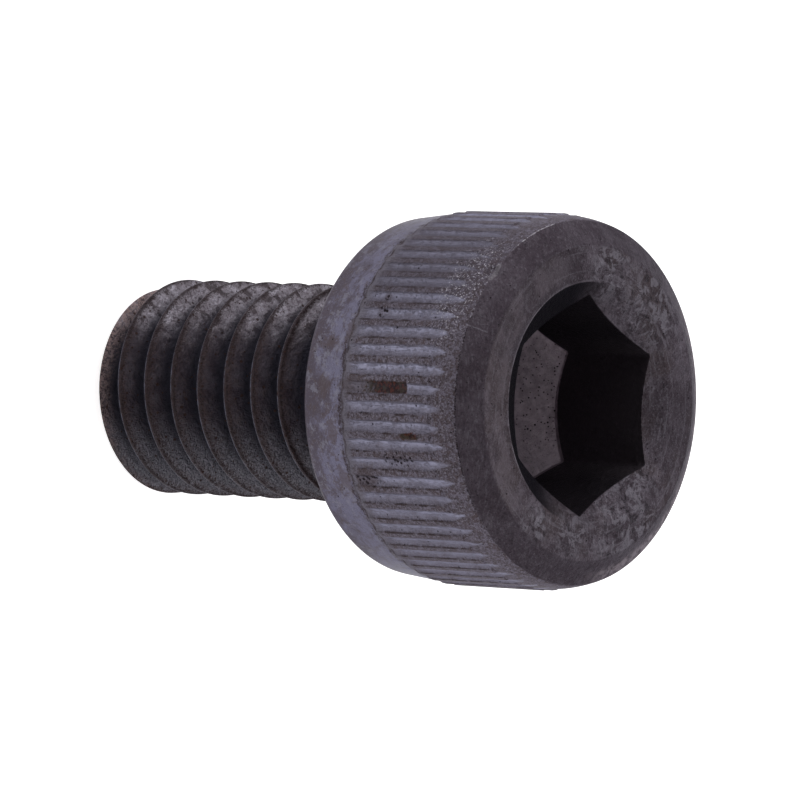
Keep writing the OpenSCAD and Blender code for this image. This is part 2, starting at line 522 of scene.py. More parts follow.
METALLIC = 0.8
SMOOTH_ANGLE = 32
SINGLE_VALUES = ("DOT_PRODUCT", "DISTANCE", "LENGTH")

# sockets of the Mix node by number, as its names repeat: the share, both inputs and the result
MIX_SOCKETS = {"RGBA": (0, 6, 7, 2), "FLOAT": (0, 2, 3, 0)}


class Finish:
    """Builds one procedural material; its patterns lie on the piece's own coordinates, in mm."""

    def __init__(self, name, mottle, blotch, grain):
        self.material = bpy.data.materials.new(name)
        self.material.use_nodes = True
        self.tree = self.material.node_tree
        self.tree.nodes.clear()
        self.shader = self.add("ShaderNodeBsdfPrincipled")
        self.put(self.shader.outputs[0], self.add("ShaderNodeOutputMaterial").inputs[0])
        coordinates = self.add("ShaderNodeTexCoord")
        self.place = self.mapped(coordinates.outputs["Object"], (1 / MM, 1 / MM, 1 / MM))
        parts = self.add("ShaderNodeSeparateXYZ")
        self.put(self.place, parts.inputs[0])
        self.x, self.y, self.z = parts.outputs
        self.radius = self.maths(
            "SQRT", self.plus(self.times(self.x, self.x), self.times(self.y, self.y)))
        self.angle = self.maths("ARCTAN2", self.y, self.x)
        self.mottle = self.noise(*mottle)
        self.blotch = self.noise(*blotch)
        self.grain = self.noise(*grain)
        self.fine = self.noise(20.0, 2.0, 0.7)
        self.colour = None

    def add(self, kind):
        return self.tree.nodes.new(kind)

    def put(self, value, socket):
        if hasattr(value, "node"):
            self.tree.links.new(value, socket)
        else:
            socket.default_value = value

    def maths(self, operation, a, b=None, clamp=False):
        node = self.add("ShaderNodeMath")
        node.operation = operation
        node.use_clamp = clamp
        for value, socket in zip((a, b), node.inputs):
            if value is not None:
                self.put(value, socket)
        return node.outputs[0]

    def chain(self, operation, values):
        total = values[0]
        for value in values[1:]:
            total = self.maths(operation, total, value)
        return total

    def plus(self, *values):
        return self.chain("ADD", values)

    def times(self, *values):
        return self.chain("MULTIPLY", values)

    def larger(self, *values):
        return self.chain("MAXIMUM", values)

    def less_half(self, share, reach=1.0):
        """A share from 0 to 1 turned into an amount on both sides of 0."""
        return self.times(self.maths("SUBTRACT", share, 0.5), reach)

    def vector_maths(self, operation, a, b=None):
        node = self.add("ShaderNodeVectorMath")
        node.operation = operation
        self.put(a, node.inputs[0])
        if b is not None:
            self.put(b, node.inputs["Scale" if operation == "SCALE" else 1])
        return node.outputs["Value" if operation in SINGLE_VALUES else "Vector"]

    def combined(self, x=0.0, y=0.0, z=0.0):
        node = self.add("ShaderNodeCombineXYZ")
        for value, socket in zip((x, y, z), node.inputs):
            self.put(value, socket)
        return node.outputs[0]

    def mapped(self, place, scale, shift=(0.0, 0.0, 0.0)):
        node = self.add("ShaderNodeMapping")
        node.inputs["Location"].default_value = shift
        node.inputs["Scale"].default_value = scale
        self.put(place, node.inputs["Vector"])
        return node.outputs[0]

    def stretched(self, across, up):
        """The place for a pattern that is longer one way than the other."""
        return self.mapped(self.place, (across, across, up))

    def noise(self, scale, detail, roughness, distortion=0.0, place=None):
        node = self.add("ShaderNodeTexNoise")
        node.inputs["Scale"].default_value = scale
        node.inputs["Detail"].default_value = detail
        node.inputs["Roughness"].default_value = roughness
        node.inputs["Distortion"].default_value = distortion
        self.put(place or self.place, node.inputs["Vector"])
        return node.outputs["Fac"]

    def cells(self, scale):
        """How far the nearest of many scattered points is."""
        node = self.add("ShaderNodeTexVoronoi")
        node.inputs["Scale"].default_value = scale
        self.put(self.place, node.inputs["Vector"])
        return node.outputs["Distance"]

    def ramp(self, value, start, full, low=0.0, high=1.0, smooth=True):
        """Runs from low to high while the value runs from start to full, whichever is larger."""
        node = self.add("ShaderNodeMapRange")
        node.interpolation_type = "SMOOTHSTEP" if smooth else "LINEAR"
        node.clamp = True
        for name, item in (("Value", value), ("From Min", start), ("From Max", full),
                           ("To Min", low), ("To Max", high)):
            self.put(item, node.inputs[name])
        return node.outputs["Result"]

    def band(self, value, start, full, fade, end):
        """1 while the value is between full and fade, and 0 outside start and end."""
        return self.times(self.ramp(value, start, full), self.ramp(value, end, fade))

    def near_line(self, start, end, width):
        """1 along a straight mark between two places, 0 away from it."""
        run = Vector(end) - Vector(start)
        from_start = self.vector_maths("SUBTRACT", self.place, start)
        along = self.vector_maths("DOT_PRODUCT", from_start, run)
        share = self.maths("DIVIDE", along, run.length_squared, clamp=True)
        nearest = self.vector_maths("SCALE", run, share)
        return self.ramp(self.vector_maths("DISTANCE", from_start, nearest), width, width * 0.3)

    def patches(self, ragged, spots, edge=0.35):
        """1 in ragged patches at stated places, with an edge that is a share of their size."""
        masks = []
        for centre, across, along, raggedness in spots:
            sizes = (across, across, along)
            scale = [1 / size for size in sizes]
            shift = [-part / size for part, size in zip(centre, sizes)]
            from_centre = self.vector_maths("LENGTH", self.mapped(self.place, scale, shift))
            from_centre = self.plus(from_centre, self.times(ragged, raggedness))
            masks.append(self.ramp(from_centre, 1.0 + edge / 2, 1.0 - edge / 2))
        return self.larger(*masks)

    def mix(self, share, a, b, kind="RGBA"):
        node = self.add("ShaderNodeMix")
        node.data_type = kind
        *sources, result = MIX_SOCKETS[kind]
        for value, number in zip((share, a, b), sources):
            self.put(value, node.inputs[number])
        return node.outputs[result]

    def blend(self, share, a, b):
        return self.mix(share, a, b, "FLOAT")

    def layered(self, tone, layers):
        """A tone under layers: each has a pattern, its start and full, its most, and its tone."""
        for pattern, start, full, most, layer_tone in layers:
            tone = self.mix(self.ramp(pattern, start, full, 0.0, most), tone, layer_tone)
        return tone

    def lay(self, tone, *shares):
        """Lays a tone over the colour so far, by the product of the shares."""
        self.colour = self.mix(self.times(*shares), self.colour, tone)

    def bump(self, height, distance, strength, normal=None):
        node = self.add("ShaderNodeBump")
        node.inputs["Strength"].default_value = strength
        node.inputs["Distance"].default_value = distance * MM
        self.put(height, node.inputs["Height"])
        if normal is not None:
            self.put(normal, node.inputs["Normal"])
        return node.outputs[0]

    def finish(self, roughness, normal):
        for name, value in (("Base Color", self.colour), ("Roughness", roughness),
                            ("Normal", normal), ("Metallic", METALLIC),
                            ("Specular Tint", GRAZING_TINT)):
            self.put(value, self.shader.inputs[name])
        return self.material


def rgb(red, green, blue):
    return (red, green, blue, 1.0)


# oxide, film, rust and dirt, on both pieces; the grime also serves as painted shade
OXIDE = rgb(0.057, 0.043, 0.054)
PALE_OXIDE = rgb(0.112, 0.093, 0.114)
DARK_OXIDE = rgb(0.026, 0.021, 0.026)
BROWN_FILM = rgb(0.066, 0.049, 0.052)
RUST_DARK = rgb(0.032, 0.016, 0.013)
GRIME_AND_SHADE = rgb(0.024, 0.015, 0.015)

# the top face, its bevel and its edge
FACE_FILM = rgb(0.034, 0.026, 0.033)
CRUST_BLUE = rgb(0.196, 0.179, 0.212)
BEVEL_FILM = rgb(0.066, 0.052, 0.066)
BEVEL_DARK = rgb(0.048, 0.036, 0.048)
BEVEL_PALE = rgb(0.095, 0.08, 0.098)
# painted highlight along the bevel
RIM_HIGHLIGHT = rgb(0.28, 0.24, 0.27)
CHIP_GREY = rgb(0.16, 0.146, 0.166)
BARE_STEEL = rgb(0.5, 0.48, 0.53)

# the sides of the head
RIDGE = rgb(0.138, 0.122, 0.158)
RIDGE_SHADE = rgb(0.062, 0.05, 0.059)
RIDGE_BROWN = rgb(0.062, 0.044, 0.048)
RIDGE_GLINT = rgb(0.23, 0.215, 0.25)
RIDGE_PIT = rgb(0.022, 0.017, 0.02)
BLUE_BAR = rgb(0.252, 0.25, 0.342)
DULL_BAR = rgb(0.118, 0.11, 0.145)
# painted shade on the side of the head
SIDE_SHADE = rgb(0.04, 0.033, 0.044)
TAPER_FILM = rgb(0.064, 0.053, 0.07)
TAPER_BLUE = rgb(0.118, 0.112, 0.166)
TAPER_PALE = rgb(0.165, 0.16, 0.2)
TAPER_DARK = rgb(0.052, 0.041, 0.05)
TAPER_GLINT = rgb(0.19, 0.18, 0.23)
# painted sheen on the strip above the knurl's foot, and painted shade on the step below it
STRIP_SHEEN = rgb(0.135, 0.126, 0.155)
STEP_SHADE = rgb(0.05, 0.038, 0.044)
NECK_OXIDE = rgb(0.038, 0.03, 0.038)
NECK_WORN = rgb(0.15, 0.13, 0.15)
RUST_RED = rgb(0.105, 0.03, 0.018)
RUST_OLIVE = rgb(0.06, 0.047, 0.03)
PITTED_BROWN = rgb(0.055, 0.041, 0.048)
PIT_BLACK = rgb(0.009, 0.005, 0.007)

# the socket
# painted shade on one side of the countersink's cone, and painted highlights on its lip and on a
# ring round it
CONE_SHADE = rgb(0.006, 0.005, 0.008)
LIP_HIGHLIGHT = rgb(0.2, 0.18, 0.21)
RING_HIGHLIGHT = rgb(0.15, 0.125, 0.145)
SOCKET_BLACK = rgb(0.026, 0.022, 0.027)
# painted light on the socket's walls towards +Y
FAR_WALL_LIGHT = rgb(0.062, 0.052, 0.062)
FLOOR_GREY = rgb(0.34, 0.28, 0.325)
FLOOR_PALE = rgb(0.52, 0.43, 0.5)
FLOOR_SHADE = rgb(0.14, 0.12, 0.14)

# the thread
THREAD_OXIDE = rgb(0.032, 0.024, 0.032)
THREAD_PALE = rgb(0.066, 0.056, 0.07)
# painted shade for the roots of the thread, also the tone of the neck
ROOT_SHADE = rgb(0.016, 0.016, 0.025)
WORN_SHADE = rgb(0.136, 0.113, 0.134)
WORN_GREY = rgb(0.32, 0.292, 0.335)
WORN_BRIGHT = rgb(0.46, 0.43, 0.5)
WORN_BROWN = rgb(0.05, 0.037, 0.04)
GREY_SIDE = rgb(0.215, 0.211, 0.245)
CREST_BROWN = rgb(0.066, 0.042, 0.04)
CREST_SHADE = rgb(0.026, 0.018, 0.019)
CREST_BLUE = rgb(0.118, 0.12, 0.16)
# cracks, and painted shadow behind the crests
CRACK_AND_SHADOW_BLACK = rgb(0.024, 0.015, 0.017)
TIP_PINK = rgb(0.38, 0.275, 0.265)
FOLD_BLACK = rgb(0.016, 0.009, 0.01)

# Where rust, dirt, pits and a patch of painted shade lie: place, size across and along the axis,
# how ragged the edge is.
RUST_SPOTS = [((1.18, -4.88, 4.04), 0.10, 0.33, 0.5)]
# a patch of painted shade on the side of the head towards -X
SIDE_SHADE_SPOTS = [((-3.70, -3.40, 2.8), 1.9, 3.4, 0.4)]
RUSTY_GROOVE = [((-0.10, -5.00, 3.27), 0.165, 1.90, 0.10)]
BROWN_STAINS = [
    ((-0.09, -4.91, 0.92), 0.32, 0.24, 0.9), ((-1.27, -4.74, 0.92), 0.18, 0.30, 0.9),
    ((1.09, -4.82, 1.20), 0.35, 0.22, 1.0), ((-1.58, -4.73, 1.60), 0.30, 0.14, 0.9),
    ((2.36, -4.45, 2.20), 0.40, 0.40, 1.0), ((-0.15, -5.00, 2.10), 0.24, 0.50, 0.5),
    ((2.39, -4.34, 1.34), 0.35, 0.25, 1.0)]
PITTED_SPOTS = [
    ((1.80, -4.70, 3.50), 0.19, 0.62, 0.5), ((2.36, -4.45, 2.30), 0.24, 0.42, 0.7),
    ((-2.47, -4.32, 2.52), 0.10, 0.10, 0.9), ((-2.12, -4.53, 2.60), 0.16, 0.20, 0.9)]
SPARKLING_LAND = [((-3.00, -4.05, 4.95), 1.60, 0.75, 0.5)]
DARK_FILM_SPOTS = [
    ((-3.20, -1.70, 6.0), 1.30, 1.0, 0.4), ((0.30, 3.50, 6.0), 1.10, 1.0, 0.4),
    ((-1.90, -3.30, 6.0), 0.90, 1.0, 0.4)]
CRUST_SPOTS = [
    ((-2.75, 2.45, 6.0), 1.10, 1.0, 0.4), ((-3.60, 0.60, 6.0), 0.75, 1.0, 0.4),
    ((3.30, 1.80, 6.0), 1.20, 1.0, 0.4), ((3.50, -0.40, 6.0), 0.60, 1.0, 0.4),
    ((3.30, -1.90, 6.0), 0.50, 1.0, 0.4), ((2.20, 2.00, 5.5), 0.90, 1.0, 0.4)]
EDGE_CHIP = [
    ((-3.27, -3.61, 5.57), 0.15, 0.07, 0.35), ((-3.40, -3.49, 5.57), 0.13, 0.06, 0.35),
    ((-3.14, -3.73, 5.57), 0.11, 0.05, 0.35)]
SCRATCH = ((-1.822, -4.524, 5.545), (-1.67, -4.08, 5.865), 0.035)

# The way to the side of the socket where its shade and highlights are painted, as shares of +X and
# +Y.
PAINTED_LIGHT_SIDE = (-0.20, -0.98)

# Bands by radius or height: start and full, and for some also fade and end.
SIDE_RADII = (4.80, 4.86)
SOCKET_RADII = (3.2, 3.15)
SOCKET_HEIGHTS = (0.4, 0.5)
RING_RADII = (3.35, 3.5, 4.10, 4.20)
NECK_RADII = (3.2, 3.0)
NECK_HEIGHTS = (-0.02, -0.08)
SEAM_HEIGHTS = (1.49, 1.54, 1.60, 1.66)
STRIP_HEIGHTS = (1.60, 1.66, 1.78, 1.95)
FOLD_HEIGHTS = (-3.0, -2.8, -1.6, -1.4)

# Stretches of the top edge, by the angle round the axis in radians: start, full, fade and end.
WORN_STRETCH = (-2.92, -2.84, -2.56, -2.42)
GRIMY_STRETCH = (-2.15, -1.95, -1.05, -0.55)
# the stretches where a highlight is painted along the bevel
NEAR_RIM = (0.05, 0.35, 0.95, 1.5)
FAR_RIM = (0.8, 1.2, 1.9, 2.4)

# Marks along one pitch of the thread, as shares of it from the tip side of a crest towards the
# head: start, full, fade and end.
# where shadow is painted in the root behind a crest
BEHIND_CREST = (-0.16, -0.08, -0.04, 0.0)
CREST_FLAT = (-0.06, -0.02, 0.12, 0.16)
CREST_LINE = (-0.03, -0.005, 0.025, 0.06)
CREST_CRACK = (0.02, 0.05, 0.09, 0.13)
BROWN_FLANK = (0.03, 0.07, 0.13, 0.26)
DOTTED_FLANK = (0.05, 0.08, 0.14, 0.20)
DIRT_FOLD = (0.09, 0.12, 0.14, 0.22)


# ---- the finish of the head ----

def head_zones(f):
    """The parts of the head's surface, each as a share from 0 to 1, and what their layers share."""
    zone = SimpleNamespace()
    zone.ragged = f.less_half(f.noise(5.0, 4.0, 0.7), 3.0)
    zone.crust = f.patches(zone.ragged, CRUST_SPOTS, 1.0)
    zone.crumple = f.noise(2.5, 6.0, 0.66, 0.9)
    # the side of the countersink where shade and highlights are painted
    oily = f.plus(f.times(f.x, PAINTED_LIGHT_SIDE[0]), f.times(f.y, PAINTED_LIGHT_SIDE[1]))
    zone.oily = f.maths("DIVIDE", oily, f.radius)
    zone.bevel = f.times(
        f.ramp(f.radius, TOP_FACE_RADIUS - 0.04, TOP_FACE_RADIUS + 0.04),
        f.ramp(f.z, TOP_EDGE_HEIGHT - 0.01, TOP_EDGE_HEIGHT + 0.01))
    zone.side = f.ramp(f.radius, *SIDE_RADII)
    zone.below_edge = f.ramp(f.z, TOP_EDGE_HEIGHT + 0.005, TOP_EDGE_HEIGHT - 0.015)
    zone.rough_side = f.times(
        zone.side, zone.below_edge, f.ramp(f.z, TAPER_TOP - 0.02, TAPER_TOP + 0.03))
    zone.taper = f.band(f.z, 0.0, 0.02, TAPER_TOP - 0.03, TAPER_TOP + 0.01)
    zone.neck = f.times(f.ramp(f.z, *NECK_HEIGHTS), f.ramp(f.radius, *NECK_RADII))
    countersink = f.plus(
        HEAD_HEIGHT - MOUTH_RADIUS * MOUTH_SLOPE - 0.03, f.times(f.radius, MOUTH_SLOPE))
    zone.in_socket = f.times(
        f.ramp(f.maths("SUBTRACT", countersink, f.z), 0.0, 0.02),
        f.ramp(f.radius, *SOCKET_RADII), f.ramp(f.z, *SOCKET_HEIGHTS))
    above_drill_point = f.maths("SUBTRACT", f.z, f.times(f.radius, FLOOR_SLOPE))
    zone.socket_floor = f.times(zone.in_socket, f.larger(
        f.ramp(above_drill_point, DRILL_POINT + 0.10, DRILL_POINT + 0.07),
        f.ramp(f.z, FLOOR_HEIGHT + 0.12, FLOOR_HEIGHT + 0.09)))
    return zone


def lay_top_face(f, zone):
    """Plain oxide, with dark film in places and a paler crust in others."""
    cloud = f.noise(0.7, 4.0, 0.6)
    f.colour = f.layered(OXIDE, [
        (f.mottle, 0.39, 0.61, 1.0, PALE_OXIDE),
        (cloud, 0.46, 0.62, 0.6, BROWN_FILM),
        (f.blotch, 0.54, 0.66, 0.42, CRUST_BLUE),
        (f.blotch, 0.46, 0.36, 0.42, DARK_OXIDE)])
    f.lay(FACE_FILM, f.patches(zone.ragged, DARK_FILM_SPOTS, 1.2), 0.55)
    f.lay(CRUST_BLUE, zone.crust, f.ramp(zone.crumple, 0.50, 0.57), 0.9)
    f.lay(DARK_OXIDE, zone.crust, f.ramp(zone.crumple, 0.45, 0.39), 0.9)
    around = f.combined(x=f.times(f.radius, 9.0), y=f.times(f.angle, 1.6))
    f.lay(CRUST_BLUE, f.ramp(f.noise(1.0, 4.0, 0.6, place=around), 0.54, 0.66, 0.0, 0.35))
    bevel = f.layered(BEVEL_FILM, [
        (cloud, 0.40, 0.60, 1.0, BEVEL_DARK),
        (f.mottle, 0.50, 0.64, 0.6, BEVEL_PALE)])
    f.lay(bevel, zone.bevel, 0.78)
    f.lay(DARK_OXIDE, f.ramp(f.grain, 0.47, 0.32, 0.0, 0.65))
    speckle = f.blend(zone.bevel, 1.0, 0.35)
    f.lay(CRUST_BLUE, speckle, f.ramp(f.fine, 0.54, 0.68, 0.0, 0.45))
    f.lay(DARK_OXIDE, speckle, f.ramp(f.fine, 0.44, 0.32, 0.0, 0.5))
    scuff = f.noise(1.0, 4.0, 0.75, place=f.mapped(f.place, (5.0, 14.0, 14.0)))
    f.colour = f.layered(f.colour, [
        (scuff, 0.53, 0.64, 0.26, CRUST_BLUE),
        (scuff, 0.46, 0.36, 0.36, DARK_OXIDE)])


def lay_countersink(f, zone):
    """The cone with painted shade on one side, a painted highlight on its lip, and a painted
    highlight on the ring round it.
    """
    # painted shade on the cone, on one side
    f.lay(CONE_SHADE, f.ramp(f.radius, MOUTH_RADIUS - 0.005, MOUTH_RADIUS - 0.03),
          f.ramp(zone.oily, -0.05, 0.45, 0.0, 0.98))
    # painted highlight: a pale line on the lip, on the same side
    lip = f.band(f.radius, MOUTH_RADIUS - 0.015, MOUTH_RADIUS,
                 MOUTH_RADIUS + 0.012, MOUTH_RADIUS + 0.035)
    f.lay(LIP_HIGHLIGHT, lip, f.ramp(zone.oily, 0.45, 0.80),
          f.ramp(f.noise(3.6, 4.0, 0.75), 0.42, 0.56, 0.15, 0.9))
    # painted highlight: a paler ring round the countersink, on the same side
    f.lay(RING_HIGHLIGHT, f.band(f.radius, *RING_RADII),
          f.ramp(zone.oily, 0.3, 0.8), f.ramp(f.mottle, 0.40, 0.55, 0.1, 0.40))


def lay_ridges(f, zone):
    """The rough side of the head: the ridges of the knurl and the land above them."""
    f.lay(f.layered(RIDGE_SHADE, [
        (f.grain, 0.40, 0.60, 1.0, RIDGE),
        (f.blotch, 0.49, 0.62, 0.7, RIDGE_BROWN),
        (f.fine, 0.58, 0.70, 0.7, RIDGE_GLINT),
        (f.fine, 0.42, 0.32, 0.8, RIDGE_PIT)]), zone.rough_side)


def knurl_pattern(f, side):
    """The bars of the knurl, the dirt and painted shadow beside each, a painted highlight across
    each, and a random share for each.
    """
    turn = f.times(f.maths("SUBTRACT", f.angle, math.radians(KNURL_TURN)), GROOVES / (2 * math.pi))
    turn = f.plus(turn, COUNT_SHIFT)
    across = f.less_half(f.maths("FRACT", turn))
    chance = f.add("ShaderNodeTexWhiteNoise")
    chance.noise_dimensions = "1D"
    f.put(f.maths("FLOOR", turn), chance.inputs["W"])
    luck = chance.outputs["Value"]

    half = GROOVE_HALF_WIDTH / (2 * math.pi * KNURL_RADIUS / GROOVES)
    wander = f.less_half(f.noise(1.0, 5.0, 0.7, place=f.stretched(7.0, 1.6)))
    from_end = f.plus(f.z, f.times(luck, 0.22), f.times(wander, 0.7))
    into_end = f.ramp(from_end, GROOVE_TOP - 0.55, GROOVE_TOP + 0.22, smooth=False)
    pointed = f.times(into_end, into_end, half + 0.04)
    edge = f.plus(f.maths("ABSOLUTE", across), pointed, f.times(wander, 0.30))
    on_knurl = f.times(side, f.band(
        f.z, TAPER_TOP, TAPER_TOP + 0.06, GROOVE_TOP, GROOVE_TOP + 0.15))
    foot = f.plus(f.z, f.times(wander, 1.3))
    bar = f.times(f.ramp(edge, half + 0.03, half - 0.13),
                  f.ramp(foot, TAPER_TOP + 0.05, TAPER_TOP + 0.45, 0.35, 1.0), on_knurl)
    low_edge = f.plus(across, f.times(wander, 0.12))
    # dirt and painted shadow: a dark line along one edge of each groove
    dirt = f.times(f.band(low_edge, half - 0.07, half - 0.01, half + 0.03, half + 0.10),
                   f.ramp(f.z, GROOVE_TOP - 0.3, GROOVE_TOP - 0.7), on_knurl)
    # painted highlight: each bar's colour lies fully on one side of it and fades to about a third
    # on the other
    bar_highlight = f.ramp(f.plus(across, f.times(wander, 0.5)), 0.26, -0.20)
    return bar, dirt, bar_highlight, luck


def lay_bars(f, zone):
    """Smooth blue bars in the grooves of the knurl, the dirt and painted shadow beside them, and a
    patch of painted shade on the side.
    """
    bar, dirt, bar_highlight, luck = knurl_pattern(f, zone.side)
    streak = f.noise(1.0, 4.0, 0.7, place=f.stretched(16.0, 1.8))
    lively = f.plus(f.times(streak, 0.55), f.times(f.noise(3.0, 4.0, 0.65), 0.45))
    zone.bar = f.times(bar, f.ramp(f.plus(f.grain, streak), 1.20, 1.0, 0.5, 1.0),
                       f.blend(bar_highlight, 0.38, 1.0))
    f.lay(f.layered(DULL_BAR, [
        (lively, 0.36, 0.54, 1.0, BLUE_BAR),
        (luck, 0.0, 1.0, 0.4, DULL_BAR)]), zone.bar)
    # the painted shadow and dirt beside the bars grow a little darker towards +X
    edge_darkness = f.plus(f.noise(2.4, 4.0, 0.7), f.ramp(f.x, 1.5, 4.0, 0.0, 0.08))
    f.lay(GRIME_AND_SHADE, dirt, f.ramp(edge_darkness, 0.46, 0.60, 0.0, 0.88))
    # painted shade: the side of the head is darkened in a patch towards -X
    film = f.patches(zone.ragged, SIDE_SHADE_SPOTS, 0.9)
    f.lay(SIDE_SHADE, film, zone.side, zone.below_edge, 0.42)


def lay_taper(f, zone):
    drift = f.noise(1.0, 6.0, 0.7, place=f.stretched(1.7, 2.6))
    toward_knurl = f.plus(f.times(f.z, 0.22), drift, f.ramp(f.x, 1.0, 3.5, 0.0, 0.10))
    f.lay(f.layered(TAPER_FILM, [
        (toward_knurl, 0.60, 0.82, 1.0, TAPER_BLUE),
        (f.blotch, 0.50, 0.64, 0.65, BROWN_FILM),
        (f.noise(3.0, 5.0, 0.72), 0.53, 0.62, 0.55, TAPER_PALE),
        (f.mottle, 0.42, 0.34, 0.55, TAPER_DARK),
        (f.fine, 0.42, 0.34, 0.5, BROWN_FILM),
        (f.fine, 0.58, 0.66, 0.35, TAPER_GLINT)]), zone.taper)


def lay_neck(f, zone):
    """The neck has the painted shade of the thread's roots as its tone, and is paler on its worn
    side.
    """
    tone = f.layered(ROOT_SHADE, [(f.mottle, 0.40, 0.60, 1.0, NECK_OXIDE)])
    worn = f.times(f.ramp(f.x, -0.9, -2.2), f.ramp(f.grain, 0.38, 0.56), 0.6)
    f.lay(f.mix(worn, tone, NECK_WORN), zone.neck)


def lay_seam(f, zone):
    """A broken dark line of painted shade where the taper meets the knurl, painted shade on the
    step, and a smooth strip above it painted paler as a sheen.
    """
    height = f.plus(f.z, f.less_half(f.noise(7.0, 5.0, 0.9), 0.55))
    # painted sheen: a paler strip just above the foot of the knurl
    f.lay(STRIP_SHEEN, f.band(height, *STRIP_HEIGHTS), zone.side, 0.55)
    # painted shade on the step at the foot of the knurl
    step = f.band(f.z, TAPER_TOP - 0.03, TAPER_TOP, TAPER_TOP + 0.04, TAPER_TOP + 0.09)
    f.lay(STEP_SHADE, step, zone.side, f.ramp(f.blotch, 0.40, 0.56, 0.35, 0.8))
    # painted shade: a broken dark line where the taper meets the knurl
    broken = f.plus(f.noise(2.2, 4.0, 0.7), f.times(f.fine, 0.9))
    f.lay(GRIME_AND_SHADE, f.band(height, *SEAM_HEIGHTS), zone.side,
          f.ramp(broken, 0.88, 1.04, 0.05, 0.95))


def lay_socket(f, zone):
    """The walls of the socket keep their black oxide, with painted light on the walls towards +Y;
    its floor is greyer and pitted.
    """
    # painted light: the walls grow paler towards +Y
    f.lay(f.layered(SOCKET_BLACK, [(f.y, 1.6, 2.6, 1.0, FAR_WALL_LIGHT)]), zone.in_socket)
    floor = f.layered(FLOOR_GREY, [
        (f.noise(5.0, 5.0, 0.7), 0.36, 0.64, 1.0, FLOOR_PALE),
        (f.x, 0.2, 2.0, 0.6, FLOOR_SHADE)])
    from_middle = f.maths("ABSOLUTE", f.plus(f.x, 0.3))
    zone.pores = f.times(
        f.larger(f.ramp(f.cells(4.2), 0.13, 0.08), f.ramp(f.cells(8.5), 0.20, 0.13)),
        f.ramp(f.y, 1.3, 1.9), f.ramp(from_middle, 1.6, 1.1, 0.25, 1.0))
    f.lay(f.mix(zone.pores, floor, PIT_BLACK), zone.socket_floor)


def lay_rust(f, zone):
    """Brown stains, pitted places, rust, and small pits everywhere but in the socket."""
    f.lay(BROWN_FILM, f.patches(zone.ragged, BROWN_STAINS, 0.7), 0.6)
    f.lay(PITTED_BROWN, f.patches(zone.ragged, PITTED_SPOTS, 1.2),
          f.ramp(f.fine, 0.36, 0.58, 0.7, 0.3))
    f.lay(PIT_BLACK, f.patches(zone.ragged, PITTED_SPOTS), f.ramp(f.cells(9.0), 0.52, 0.30))
    ragged_height = f.plus(f.z, f.less_half(f.blotch, 1.2))
    in_groove = f.times(f.patches(zone.ragged, RUSTY_GROOVE, 0.45),
                        f.ramp(ragged_height, 2.30, 2.80), f.ramp(f.z, 3.99, 3.95))
    zone.rust = f.larger(f.patches(zone.ragged, RUST_SPOTS, 0.5), in_groove)
    f.lay(f.layered(RUST_RED, [
        (f.cells(11.0), 0.32, 0.60, 1.0, RUST_DARK),
        (f.noise(3.0, 3.0, 0.6), 0.50, 0.60, 0.8, RUST_OLIVE),
        (f.z, 3.0, 2.6, 0.75, RUST_OLIVE)]), zone.rust, 0.85)
    pits = f.larger(f.ramp(f.cells(2.3), 0.07, 0.04), f.ramp(f.cells(3.7), 0.085, 0.05))
    zone.pits = f.times(pits, f.blend(zone.in_socket, 1.0, 0.0))
    f.lay(PIT_BLACK, zone.pits)


def lay_top_edge(f, zone):
    """The sharp edge, worn bright on one stretch and grimy on another, a painted highlight along
    the bevel on two stretches, and its chip and scratch.
    """
    from_edge = f.vector_maths("DISTANCE", f.combined(x=f.radius, z=f.z),
                               (TOP_EDGE_RADIUS, 0.0, TOP_EDGE_HEIGHT))
    on_edge = f.ramp(f.plus(from_edge, f.less_half(f.fine, 0.05)), 0.024, 0.006)
    broken = f.noise(6.5, 5.0, 0.8)
    f.lay(PIT_BLACK, on_edge, f.band(f.angle, *GRIMY_STRETCH),
          f.ramp(broken, 0.40, 0.52, 0.1, 0.85))
    f.lay(BARE_STEEL, on_edge, f.band(f.angle, *WORN_STRETCH),
          f.ramp(broken, 0.47, 0.55), f.ramp(f.fine, 0.38, 0.52, 0.35, 0.95))
    # painted highlight: a pale band on the bevel near the top edge, on two stretches
    highlight_stretches = f.larger(f.band(f.angle, *NEAR_RIM), f.times(f.band(f.angle, *FAR_RIM), 0.6))
    f.lay(RIM_HIGHLIGHT, zone.bevel, f.ramp(from_edge, 0.50, 0.30), highlight_stretches,
          f.ramp(f.noise(3.0, 5.0, 0.75), 0.42, 0.56, 0.1, 0.85))
    f.lay(CHIP_GREY, f.patches(zone.ragged, EDGE_CHIP, 0.4),
          f.ramp(f.grain, 0.35, 0.6, 0.5, 1.0))
    f.lay(BARE_STEEL, f.patches(zone.ragged, SPARKLING_LAND, 0.9), zone.rough_side,
          f.ramp(f.fine, 0.58, 0.66), f.ramp(f.grain, 0.50, 0.60))
    f.lay(CRUST_BLUE, f.near_line(*SCRATCH), f.ramp(f.fine, 0.36, 0.56, 0.15, 0.7))


